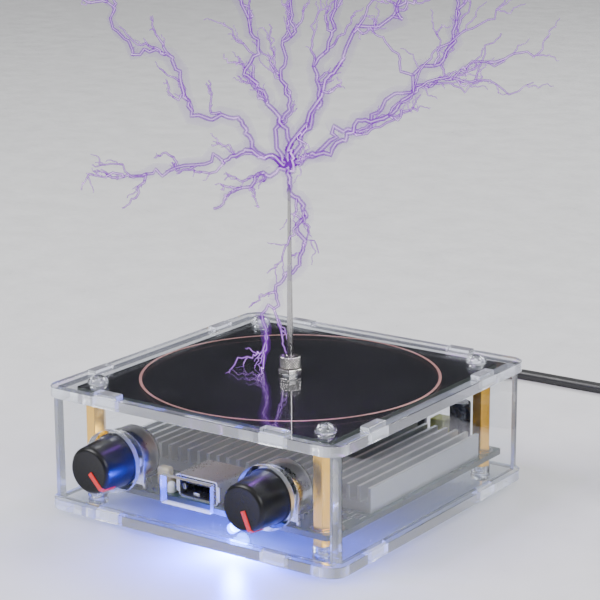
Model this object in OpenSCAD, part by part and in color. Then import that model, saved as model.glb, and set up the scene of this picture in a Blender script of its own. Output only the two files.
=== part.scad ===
// Desktop plasma speaker: a singing high-voltage coil in a clear sheet-plastic case, with a
// discharge needle on top, two control knobs in front and a lead to its mains adapter behind.
// The origin is on the table, under the middle of the case with its knobs. +Z is up and the
// controls face -Y. Places inside the modules are measured from the middle of the case.

/* [Case] */
// Side of the square top and base plates
plate_w = 100; // [98:0.5:104]
// Thickness of every clear sheet
sheet_t = 3; // [2.6:0.1:3.2]
// Radius of the plates' corners
corner_r = 5; // [4:0.5:6]
// Strip of plate that is left outside the panels
panel_inset = 1.5; // [1:0.1:2]
// Length of each locking tab
tab_len = 8; // [6:0.5:10]
// Height that a tab stands out of its slot
tab_proud = 0.8; // [0.4:0.1:1.2]
// Distance of the tabs from the middle of a side
tab_offset = 28.5; // [24:0.5:30]

/* [Stack] */
// Height of the screw heads that the case stands on
foot_h = 2; // [1.8:0.1:2.6]
// Thickness of the clear nuts on the base plate
base_nut_h = 2; // [1.8:0.1:2.4]
// Length of the short posts under the main board
lower_post_h = 3; // [3:0.5:5]
// Thickness of both circuit boards
board_t = 1.6; // [1.2:0.2:1.6]
// Side of both circuit boards
board_w = 87; // [86:0.5:88]
// Length of the hexagonal posts between the boards
upper_post_h = 22; // [21:0.5:25]
// Distance of the posts from the middle, along each side
post_offset = 39; // [38.5:0.5:39.5]
// Width across the flats of a post
post_af = 5; // [4.5:0.5:5]

/* [Needle] */
// Height of the needle's tip above the top plate
needle_h = 60.7; // [45:0.1:75]
// Diameter of the needle's shank
needle_d = 1.9; // [1.6:0.1:2]
// Diameter of the knurled thumb nut
thumb_nut_d = 6.1; // [5.5:0.1:7]
// Height of the knurled thumb nut
thumb_nut_h = 3.2; // [2:0.1:4]

/* [Controls] */
// Place of the left knob across the front
left_knob_x = -27; // [-27:0.5:-26]
// Place of the right knob across the front
right_knob_x = 25.5; // [25:0.5:27]
// Height of both knobs' shafts
knob_z = 19.5; // [19:0.5:20.5]
// Length of a knob
knob_len = 12; // [12:0.5:14]
// Diameter of a knob at its rear rim
knob_rear_d = 15.6; // [14:0.2:16]
// Diameter of a knob near its front
knob_front_d = 13.4; // [12:0.2:14]
// Direction of the left pointer, clockwise from straight up
left_pointer_turn = 137; // [130:1:160]
// Direction of the right pointer, clockwise from straight up
right_pointer_turn = 157; // [130:1:160]
// Diameter of the panel's holes around the knobs
knob_hole_d = 18; // [17.5:0.5:18]
// Place of the data port across the front
port_x = -1; // [-2:0.5:0]

/* [Heatsink] */
// Width of the heatsink
sink_w = 84; // [80:1:84]
// Length of the heatsink's fins
sink_len = 57; // [50:1:57]
// Overall height of the heatsink
sink_h = 7.2; // [6:0.2:12]
// Number of fins
fin_count = 25; // [15:1:27]

/* [Lead] */
// Diameter of the lead
cord_d = 3.5; // [3.3:0.1:3.5]
// Diameter of the stowed coil at the middle of its turns
coil_d = 42; // [40:1:42]

/* [Hidden] */
$fn = 48;
fit_gap = 0.05;
part_gap = 0.3;
cut = 1;
half_w = plate_w / 2;
inner_w = half_w - panel_inset - sheet_t;
panel_y = half_w - panel_inset - sheet_t / 2;
panel_w = plate_w - 2 * panel_inset - 2;
floor_z = foot_h + sheet_t;
main_z = floor_z + base_nut_h + lower_post_h;
deck_z = main_z + board_t;
coil_board_z = deck_z + upper_post_h;
roof_z = coil_board_z + board_t;
top_z = roof_z + sheet_t;
tip_z = top_z + needle_h;

// Fasteners
bolt_pts = [for (x = [-1, 1], y = [-1, 1]) [x, y] * post_offset];
screw_r = 1.5;
screw_hole_r = 1.6;
head_r = 3;
head_h = 2.2;
nut_af = 5.5;

// Needle and its seat
stud_r = 1.45;
seat_r = 2;
seat_hex_h = 1.4;
seat_bore_z = coil_board_z - 3.5;
stud_top_z = top_z - 1.6;
nut_z = top_z + seat_hex_h + part_gap;
point_len = 4;

// Heatsink
sink_x = -sink_w / 2;
sink_y = -24.5;
sink_base_t = 2.8;
fin_t = 1.1;
fin_pitch = (sink_w - fin_t) / (fin_count - 1);
sink_pts = [for (x = [sink_x + 8, -sink_x - 8], y = [sink_y + 6, sink_y + sink_len - 6]) [x, y]];

// Controls
knob_rear_y = -half_w + 4;
pointer_proud = 0.2;
pointer_w = 1.4;
pointer_wrap = 5;
shaft_r = 3;
pot_y = -42.6;
pot_d = 16.5;
pot_len = 8.5;
front_y = knob_rear_y - knob_len - pointer_proud;
// The case sits a little behind the origin, because its knobs reach out in front of it.
case_y = -(front_y + half_w) / 2;

// Data port, lamps and power inlet
port_y = -42;
port_w = 14.4;
port_h = 7;
port_len = 14;
shell_t = 0.4;
led_x = 12.5;
led_y = -38.6;
led_z = 7.4;
lead_t = 0.5;
jack_x = -30;
jack_z = deck_z + 5.5;
jack_y = 34.5;
jack_mouth_y = 48;
plug_y = jack_mouth_y + part_gap;
relief_y = 66;

// Wire-wound inductor
wire_step = 1.05;
wire_turns = 6;
wire_coil_r = 2.3;
wire_d = 0.8;

// Lead: out of its plug, down to the table and away to the right, then a coil and the adapter
relief_end_y = 82;
lead_z = 1.75;
lead_sides = 8;
coil_pos = [84, 117];
coil_w = 4 * cord_d;
coil_h = 2 * cord_d;
tail_x = 110.25;
tail_z = 5.25;
tail_end_y = 98;
adapter_size = [30, 44, 24];
adapter_y = 84;
pin_gap = 19;
pin_y = 52;
LEAD = [[-30, 82, 17.1], [-30, 88, 17.1], [-30, 95, 16], [-30, 102, 13.2], [-30, 109, 9.2],
        [-29.8, 116, 5.2], [-29, 123, 2.6], [-26.6, 130, lead_z], [-22, 136, lead_z], [-15.4, 140.4, lead_z],
        [-8, 142.6, lead_z], [0, 143.25, lead_z], [10, 143.25, lead_z], [20, 143.25, lead_z],
        [30, 143.25, lead_z], [40, 143.25, lead_z], [50, 143.25, lead_z], [60, 143.25, lead_z],
        [67, 143.25, lead_z], [74, 143.25, lead_z]];
TAIL = [[tail_x, 108, tail_z], [tail_x, 103, tail_z], [tail_x, tail_end_y, tail_z]];

// Moves a sub-part from the case's own middle to its place behind the origin.
module placed() { translate([0, case_y, 0]) children(); }

// A block between two opposite corners.
module block(low, high) { translate(low) cube(high - low); }

// Copies its children to the four posts.
module at_posts() { for (p = bolt_pts) translate([p.x, p.y, 0]) children(); }

// Turns a shape that is drawn along +Z to point forward, to -Y, from a place.
module forward(x, y, z) { translate([x, y, z]) rotate([90, 0, 0]) children(); }

// The same, to point backward, to +Y.
module backward(x, y, z) { translate([x, y, z]) rotate([-90, 0, 0]) children(); }

module hex_bar(af, h) { cylinder(d = af / cos(30), h = h, $fn = 6); }

module ring(r_out, r_in, h) {
    difference() {
        cylinder(r = r_out, h = h);
        translate([0, 0, -cut]) cylinder(r = r_in, h = h + 2 * cut);
    }
}

module rounded_square(w, r) {
    square([w - 2 * r, w], center = true);
    square([w, w - 2 * r], center = true);
    for (x = [-1, 1], y = [-1, 1]) translate([x, y] * (w / 2 - r)) circle(r);
}

// ---- Clear case ----
module tab_slots() {
    slot = [tab_len, sheet_t] + 2 * fit_gap * [1, 1];
    for (a = [0:90:270], s = [-1, 1])
        rotate(a) translate([s * tab_offset, -panel_y]) square(slot, center = true);
}

module case_plate(z) {
    translate([0, 0, z]) linear_extrude(sheet_t) difference() {
        rounded_square(plate_w, corner_r);
        tab_slots();
        for (p = bolt_pts) translate(p) circle(screw_hole_r);
        children();
    }
}

// A panel on the -Y side. Its tabs pass through both plates and stand a little proud of them.
module panel_blank(w) {
    out_y = panel_y + sheet_t / 2;
    block([-w / 2, -out_y, floor_z + fit_gap], [w / 2, -inner_w, roof_z - fit_gap]);
    for (s = [-1, 1]) translate([s * tab_offset, 0, 0])
        block([-tab_len / 2, -out_y, foot_h - tab_proud], [tab_len / 2, -inner_w, top_z + tab_proud]);
}

module base_plate() { color("aliceblue", 0.4) placed() case_plate(foot_h); }

module top_plate() { color("aliceblue", 0.4) placed() case_plate(roof_z) circle(seat_r + 0.2); }

module front_panel() {
    color("aliceblue", 0.4) placed() difference() {
        panel_blank(panel_w);
        for (x = [left_knob_x, right_knob_x])
            forward(x, -inner_w + cut, knob_z) cylinder(d = knob_hole_d, h = 2 * sheet_t);
        block([port_x - 8.6, -half_w, deck_z - 0.4], [port_x + 8.6, -inner_w + cut, deck_z + port_h + 0.6]);
    }
}

module back_panel() {
    color("aliceblue", 0.4) placed() difference() {
        rotate(180) panel_blank(panel_w);
        block([jack_x - 4.8, inner_w - cut, deck_z - 0.2], [jack_x + 4.8, half_w, deck_z + 11.3]);
    }
}

module left_panel() { color("aliceblue", 0.4) placed() rotate(-90) panel_blank(2 * (inner_w - fit_gap)); }

module right_panel() { color("aliceblue", 0.4) placed() rotate(90) panel_blank(2 * (inner_w - fit_gap)); }

// ---- Screws, nuts and posts ----
// A clear pan-head screw with a cross recess. Its head stands on the origin and its shank is below.
module clear_screw(shank, head) {
    difference() {
        union() {
            cylinder(r = head_r, h = head / 2);
            translate([0, 0, head / 2]) cylinder(r1 = head_r, r2 = 0.7 * head_r, h = head / 2);
            translate([0, 0, -shank]) cylinder(r = screw_r, h = shank);
        }
        for (a = [0, 90]) rotate(a) translate([-1.4, -0.3, head - 1]) cube([2.8, 0.6, 2]);
    }
}

module top_screws() {
    shank = sheet_t + board_t + 3;
    color("white", 0.5) placed() at_posts() translate([0, 0, top_z]) clear_screw(shank, head_h);
}

module foot_screws() {
    shank = sheet_t + base_nut_h + lower_post_h / 2;
    color("white", 0.5) placed() at_posts()
        translate([0, 0, foot_h]) rotate([180, 0, 0]) clear_screw(shank, foot_h);
}

module base_nuts() {
    color("white", 0.5) placed() at_posts() translate([0, 0, floor_z]) difference() {
        hex_bar(nut_af, base_nut_h);
        translate([0, 0, -cut]) cylinder(r = screw_r, h = base_nut_h + 2 * cut);
    }
}

module lower_posts() {
    color("goldenrod") placed() at_posts() translate([0, 0, floor_z + base_nut_h]) difference() {
        hex_bar(post_af, lower_post_h);
        translate([0, 0, -cut]) cylinder(r = screw_r, h = lower_post_h + 2 * cut);
    }
}

// The long posts have a threaded stud, which goes down through the main board.
module upper_posts() {
    bore_depth = 6;
    color("gold") placed() at_posts() translate([0, 0, deck_z]) {
        difference() {
            hex_bar(post_af, upper_post_h);
            translate([0, 0, upper_post_h - bore_depth]) cylinder(r = screw_r, h = bore_depth + cut);
        }
        translate([0, 0, -board_t - 1]) cylinder(r = screw_r, h = board_t + 1);
    }
}

// ---- Boards and coil ----
module board_blank(z) {
    translate([0, 0, z]) linear_extrude(board_t) difference() {
        rounded_square(board_w, 1);
        for (p = bolt_pts) translate(p) circle(screw_hole_r);
        children();
    }
}

module main_board() {
    color("darkslategray") placed() board_blank(main_z) for (p = sink_pts) translate(p) circle(screw_hole_r);
}

module coil_board() {
    color("#101012") placed() difference() {
        board_blank(coil_board_z) circle(seat_r + fit_gap);
        copper_loop(0.1 + cut);
    }
}

module copper_loop(h) { translate([0, 0, roof_z - 0.1]) ring(board_w / 2 - 0.1, board_w / 2 - 0.9, h); }

module copper_ring() { color("salmon") placed() copper_loop(0.1); }

// The flat spiral of fine wire on the underside of the coil board
module coil_winding() { color("peru") placed() translate([0, 0, coil_board_z - 0.4]) ring(35, 12, 0.4); }

module coil_leads() {
    color("peru") placed() for (x = [-5, 0]) translate([x, 38, deck_z]) cylinder(r = 0.6, h = upper_post_h);
}

// ---- Needle ----
module needle_seat() {
    color("gainsboro") placed() difference() {
        union() {
            translate([0, 0, top_z]) hex_bar(6.5, seat_hex_h);
            translate([0, 0, coil_board_z - 2]) cylinder(r = seat_r, h = top_z - coil_board_z + 2.5);
            translate([0, 0, coil_board_z - 4.4]) hex_bar(nut_af, 2.4);
        }
        translate([0, 0, seat_bore_z])
            cylinder(r = stud_r + fit_gap, h = top_z + seat_hex_h + cut - seat_bore_z);
    }
}

module discharge_needle() {
    stud_z = seat_bore_z + part_gap;
    shank_end_z = top_z + 7;
    color("silver") placed() {
        translate([0, 0, stud_z]) cylinder(r = stud_r, h = stud_top_z - stud_z);
        translate([0, 0, stud_top_z]) cylinder(d = needle_d, h = shank_end_z - stud_top_z);
        translate([0, 0, shank_end_z]) cylinder(d1 = needle_d, d2 = 0.8, h = tip_z - point_len - shank_end_z);
        translate([0, 0, tip_z - point_len]) cylinder(d1 = 0.8, d2 = 0.2, h = point_len);
    }
}

module thumb_nut() {
    color("lightgray") placed()
        translate([0, 0, nut_z]) ring(thumb_nut_d / 2, needle_d / 2 + fit_gap, thumb_nut_h);
}

// ---- Heatsink and power parts ----
module heatsink() {
    color("slategray") placed() difference() {
        translate([sink_x, sink_y, deck_z]) union() {
            cube([sink_w, sink_len, sink_base_t]);
            for (i = [0:fin_count - 1]) translate([i * fin_pitch, 0, 0]) cube([fin_t, sink_len, sink_h]);
        }
        for (p = sink_pts) translate([p.x, p.y, deck_z - cut]) cylinder(r = screw_r, h = cut + 2);
    }
}

module heatsink_screws() {
    color("silver") placed() for (p = sink_pts) translate([p.x, p.y, main_z]) {
        cylinder(r = screw_r, h = board_t + 1.8);
        translate([0, 0, -1.2]) cylinder(r = 2.5, h = 1.2);
    }
}

module power_transistors() {
    color("#202024") placed() for (x = [-14, 14]) block([x - 5, -6, main_z - 2.4], [x + 5, 4, main_z]);
}

// ---- Controls ----
// A potentiometer that stands on the board behind the front panel
module pot_body(x) {
    color("silver") placed() difference() {
        union() {
            block([x - 8, pot_y, deck_z], [x + 8, pot_y + 1.2, knob_z]);
            block([x - 7, pot_y, deck_z], [x + 7, pot_y + pot_len, knob_z]);
            forward(x, pot_y + pot_len, knob_z) cylinder(d = pot_d, h = pot_len);
        }
        forward(x, pot_y + 6, knob_z) cylinder(r = shaft_r + fit_gap, h = 6 + cut);
        block([x - pot_d, pot_y - cut, deck_z - 2], [x + pot_d, pot_y + pot_len + cut, deck_z]);
    }
}

// The threaded bushing that the shaft turns in
module pot_bushing(x) {
    color("gainsboro") placed() forward(x, pot_y, knob_z) ring(3.5, shaft_r + fit_gap, 3);
}

module pot_shaft(x) {
    color("gray") placed() forward(x, pot_y + 5.5, knob_z) cylinder(r = shaft_r, h = 18.5);
}

// Half of the knob's outline: distance from its axis, distance from its rear rim
function knob_outline() = [[0, 0], [knob_rear_d / 2, 0], [knob_rear_d / 2, 1], [knob_rear_d / 2 - 0.3, 1.3],
                           [knob_front_d / 2, knob_len - 1], [knob_front_d / 2 - 0.7, knob_len],
                           [0, knob_len]];

// The pointer's outline, in the same terms: on the face, over the rim and back along the side
function pointer_outline() =
    let (r = knob_front_d / 2, p = pointer_proud, f = knob_len, w = knob_len - pointer_wrap)
    [[0.6, f - 0.4], [0.6, f + p], [r - 0.6, f + p], [r + p, f - 0.9], [r + p + 0.4, w], [r - 0.6, w],
     [r - 0.9, f - 0.4]];

module pointer_bar(x, turn) {
    forward(x, knob_rear_y, knob_z) rotate(90 - turn) rotate([90, 0, 0])
        linear_extrude(pointer_w, center = true) polygon(pointer_outline());
}

module knob(x, turn) {
    color("#18181a") placed() difference() {
        forward(x, knob_rear_y, knob_z) rotate_extrude() polygon(knob_outline());
        forward(x, knob_rear_y + cut, knob_z) cylinder(r = shaft_r, h = cut + 10);
        pointer_bar(x, turn);
    }
}

module left_pot() { pot_body(left_knob_x); }

module right_pot() { pot_body(right_knob_x); }

module left_bushing() { pot_bushing(left_knob_x); }

module right_bushing() { pot_bushing(right_knob_x); }

module left_shaft() { pot_shaft(left_knob_x); }

module right_shaft() { pot_shaft(right_knob_x); }

module left_knob() { knob(left_knob_x, left_pointer_turn); }

module right_knob() { knob(right_knob_x, right_pointer_turn); }

module left_pointer() { color("red") placed() pointer_bar(left_knob_x, left_pointer_turn); }

module right_pointer() { color("red") placed() pointer_bar(right_knob_x, right_pointer_turn); }

// ---- Data port and lamps ----
module at_port() { placed() translate([port_x, port_y, deck_z]) children(); }

module port_shell() {
    half = port_w / 2;
    color("silver") at_port() difference() {
        union() {
            block([-half, 0, 0], [half, port_len, port_h]);
            block([-half - 0.8, 0, 0], [half + 0.8, shell_t, port_h]);
        }
        block([-half + shell_t, -cut, shell_t], [half - shell_t, port_len - shell_t, port_h - shell_t]);
    }
}

module port_tongue() {
    back_x = port_w / 2 - shell_t;
    color("#141416") at_port() {
        block([-5.6, 1.2, 3.6], [5.6, port_len - 1, 5.2]);
        block([-back_x, port_len - 2, shell_t], [back_x, port_len - shell_t, port_h - shell_t]);
    }
}

module port_springs() {
    wall_x = port_w / 2 - shell_t;
    color("white") at_port() for (x = [-wall_x, wall_x - 0.5]) block([x, 2, 1.4], [x + 0.5, 8, 3]);
}

// A round-nosed lamp that lies under the front edge of the main board and looks forward
module blue_led() {
    nose_r = 1.5;
    nose_z = 3.8;
    color("deepskyblue") placed() forward(led_x, led_y, led_z) {
        cylinder(r = nose_r + 0.4, h = 1);
        cylinder(r = nose_r, h = nose_z);
        translate([0, 0, nose_z]) sphere(r = nose_r);
    }
}

module led_leads() {
    foot_y = led_y + 2.4;
    color("silver") placed() for (x = [led_x - 1.27, led_x + 1.27]) translate([x - lead_t / 2, 0, 0]) {
        block([0, led_y, led_z - lead_t / 2], [lead_t, foot_y, led_z + lead_t / 2]);
        block([0, foot_y - lead_t, led_z], [lead_t, foot_y, main_z]);
    }
}

module status_led() {
    color("lavender") placed() translate([-12, -40.4, deck_z]) {
        cylinder(r = 1.4, h = 1.6);
        translate([0, 0, 1.6]) sphere(r = 1.4);
    }
}

// ---- Small parts on the main board ----
module wire_inductor() {
    color("lightgray") placed() for (i = [0:wire_turns - 1])
        translate([23.5 + i * wire_step, -30, deck_z + wire_coil_r])
            rotate([0, 90, 0]) ring(wire_coil_r, wire_coil_r - wire_d, wire_d);
}

module inductor_core() {
    core_len = wire_step * wire_turns + 1;
    color("dimgray") placed() translate([23, -30, deck_z + wire_coil_r]) rotate([0, 90, 0])
        cylinder(r = wire_coil_r - wire_d, h = core_len);
}

module film_capacitor() { color("khaki") placed() block([-18, -38.4, deck_z], [-13.8, -35.4, deck_z + 6]); }

module box_capacitor() {
    color("yellowgreen") placed() block([23.6, 35.4, deck_z], [28.4, 40.6, deck_z + 8]);
}

module can_capacitors() {
    color("midnightblue") placed() translate([0, 38, deck_z]) {
        translate([32.5, 0, 0]) cylinder(r = 3.15, h = 14);
        for (x = [7.5, 16.5]) translate([x, 0, 0]) cylinder(r = 4, h = 12);
    }
}

module wireless_module() {
    color("seagreen") placed() {
        block([-22, 34, deck_z], [-9, 42.5, deck_z + 0.8]);
        block([-21, 35, deck_z + 0.8], [-13, 41.5, deck_z + 2.2]);
    }
}

module driver_chips() {
    color("#202024") placed() {
        block([10, -36, deck_z], [15, -31, deck_z + 1.6]);
        block([-16, -32.5, deck_z], [-11, -27.5, deck_z + 1.6]);
    }
}

// ---- Power inlet and plug ----
module dc_jack() {
    color("#1c1c1e") placed() difference() {
        block([jack_x - 4.5, jack_y, deck_z], [jack_x + 4.5, jack_mouth_y, deck_z + 11]);
        backward(jack_x, jack_mouth_y - 10, jack_z) cylinder(r = 2.95, h = 10 + cut);
    }
}

module jack_pin() {
    color("silver") placed() backward(jack_x, jack_mouth_y - 10, jack_z) cylinder(r = 1, h = 9);
}

module plug_barrel() {
    reach = 9.5;
    color("silver") placed()
        backward(jack_x, jack_mouth_y - reach, jack_z) ring(2.75, 1.15, reach + part_gap);
}

module plug_handle() {
    collar = 1.5;
    color("#161618") placed() backward(jack_x, plug_y, jack_z) {
        cylinder(r = 4.4, h = collar);
        translate([0, 0, collar]) cylinder(r = 5, h = relief_y - plug_y - collar);
    }
}

module plug_relief() {
    color("#161618") placed() backward(jack_x, relief_y, jack_z)
        cylinder(r1 = 3.6, r2 = 2.1, h = relief_end_y - relief_y);
}

// ---- Lead, coil and adapter ----
// A round tube, swept along a path with a ring at each of its points
function heading(p, i) = let (d = p[min(i + 1, len(p) - 1)] - p[max(i - 1, 0)]) d / norm(d);
function level_side(t) = let (s = cross(t, [0, 0, 1])) s / norm(s);
function ring_points(p, i, r) = let (t = heading(p, i), u = level_side(t), v = cross(u, t))
    [for (k = [0:lead_sides - 1]) let (a = k * 360 / lead_sides) p[i] + r * (cos(a) * u + sin(a) * v)];
function wall_faces(a, b, k, n) = [[a + k, a + n, b + n], [a + k, b + n, b + k]];
function tube_faces(rings) = [
    [for (k = [lead_sides - 1:-1:0]) k],
    for (i = [0:rings - 2], k = [0:lead_sides - 1])
        each wall_faces(i * lead_sides, (i + 1) * lead_sides, k, (k + 1) % lead_sides),
    [for (k = [0:lead_sides - 1]) (rings - 1) * lead_sides + k]];

module swept_tube(path) {
    polyhedron([for (i = [0:len(path) - 1]) each ring_points(path, i, cord_d / 2)], tube_faces(len(path)));
}

module power_lead() { color("#141414") placed() swept_tube(LEAD); }

module lead_tail() { color("#141414") placed() swept_tube(TAIL); }

module lead_coil() {
    color("#141414") placed() translate([coil_pos.x, coil_pos.y, 0])
        rotate_extrude() translate([(coil_d - coil_w) / 2, 0]) square([coil_w, coil_h]);
}

// A band over the coil
module coil_tie() {
    band_t = 0.8;
    band_w = 5;
    inner_y = coil_w / 2 + part_gap;
    color("dimgray") placed() translate([coil_pos.x, coil_pos.y - coil_d / 2, 0]) difference() {
        block([-band_w / 2, -coil_w / 2 - band_t, 0], [band_w / 2, inner_y + band_t, coil_h + band_t]);
        block([-band_w, -coil_w / 2, -cut], [band_w, inner_y, coil_h]);
    }
}

module adapter_relief() {
    color("#161618") placed() backward(tail_x, adapter_y, tail_z)
        cylinder(r1 = 3.4, r2 = 2.1, h = tail_end_y - adapter_y);
}

module power_adapter() {
    color("#1a1a1c") placed()
        translate([tail_x - adapter_size.x / 2, adapter_y - adapter_size.y, 0]) cube(adapter_size);
}

module adapter_pins() {
    color("silver") placed() for (x = [-pin_gap / 2, pin_gap / 2])
        translate([tail_x + x, pin_y, adapter_size.z]) cylinder(r = 2, h = 19);
}

base_plate();
top_plate();
front_panel();
back_panel();
left_panel();
right_panel();
top_screws();
foot_screws();
base_nuts();
lower_posts();
upper_posts();
main_board();
coil_board();
copper_ring();
coil_winding();
coil_leads();
needle_seat();
discharge_needle();
thumb_nut();
heatsink();
heatsink_screws();
power_transistors();
left_pot();
right_pot();
left_bushing();
right_bushing();
left_shaft();
right_shaft();
left_knob();
right_knob();
left_pointer();
right_pointer();
port_shell();
port_tongue();
port_springs();
blue_led();
led_leads();
status_led();
wire_inductor();
inductor_core();
film_capacitor();
box_capacitor();
can_capacitors();
wireless_module();
driver_chips();
dc_jack();
jack_pin();
plug_barrel();
plug_handle();
plug_relief();
power_lead();
lead_coil();
coil_tie();
lead_tail();
adapter_relief();
power_adapter();
adapter_pins();
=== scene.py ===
"""Desktop plasma speaker in a clear case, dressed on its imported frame. Lengths are metres, and a
place written in millimetres is measured from the middle of the case, as in the part's source."""
import math
import random

import bmesh
import bpy
from mathutils import Matrix, Vector


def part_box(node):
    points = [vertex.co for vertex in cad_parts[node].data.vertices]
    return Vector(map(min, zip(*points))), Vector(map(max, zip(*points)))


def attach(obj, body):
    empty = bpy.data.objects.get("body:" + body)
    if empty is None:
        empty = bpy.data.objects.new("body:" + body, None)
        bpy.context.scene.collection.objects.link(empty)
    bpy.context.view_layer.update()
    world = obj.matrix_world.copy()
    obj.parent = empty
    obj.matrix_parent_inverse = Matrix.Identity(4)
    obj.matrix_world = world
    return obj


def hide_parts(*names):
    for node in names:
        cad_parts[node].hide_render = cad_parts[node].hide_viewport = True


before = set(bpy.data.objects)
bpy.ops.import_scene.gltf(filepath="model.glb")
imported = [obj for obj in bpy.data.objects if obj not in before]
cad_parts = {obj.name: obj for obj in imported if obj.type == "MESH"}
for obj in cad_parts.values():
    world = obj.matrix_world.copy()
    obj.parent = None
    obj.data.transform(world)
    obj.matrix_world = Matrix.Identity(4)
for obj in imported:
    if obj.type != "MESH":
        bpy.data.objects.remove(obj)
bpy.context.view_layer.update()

MM = 0.001
CASE_Y = 4.1
TURN = 2 * math.pi
HAIR = 0.03  # mm, the gap that keeps two touching faces from sharing one plane
WELD = 1e-8  # metres, within which corners are joined
CAD_WELD = 1e-6  # metres, the same for the corners of a CAD node


def at(x, y, z):
    """A place in case millimetres, as a point in the frame."""
    return Vector((x, y + CASE_Y, z)) * MM


def show(thing):
    """Links an object to the scene."""
    bpy.context.scene.collection.objects.link(thing)


# ---- Camera ----
LENS = 123.96
AIM = Vector((1.5, 7.0, 59.2)) * MM
DISTANCE = 0.59
AZIMUTH, ELEVATION, ROLL = (math.radians(a) for a in (35.165, 14.531, -0.325))


def add_camera():
    a, e = AZIMUTH, ELEVATION
    ahead = Vector((-math.sin(a) * math.cos(e), math.cos(a) * math.cos(e), -math.sin(e)))
    level = Vector((math.cos(a), math.sin(a), 0))
    right = level * math.cos(ROLL) + level.cross(ahead) * math.sin(ROLL)
    up = right.cross(ahead)
    data = bpy.data.cameras.new("camera")
    data.lens = LENS
    data.sensor_width = 36
    data.clip_start = 0.01
    camera = bpy.data.objects.new("camera", data)
    turn = Matrix((right, up, -ahead)).transposed().to_4x4()
    camera.matrix_world = Matrix.Translation(AIM - ahead * DISTANCE) @ turn
    show(camera)
    bpy.context.scene.camera = camera


add_camera()

# ---- Mesh making ----


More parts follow.
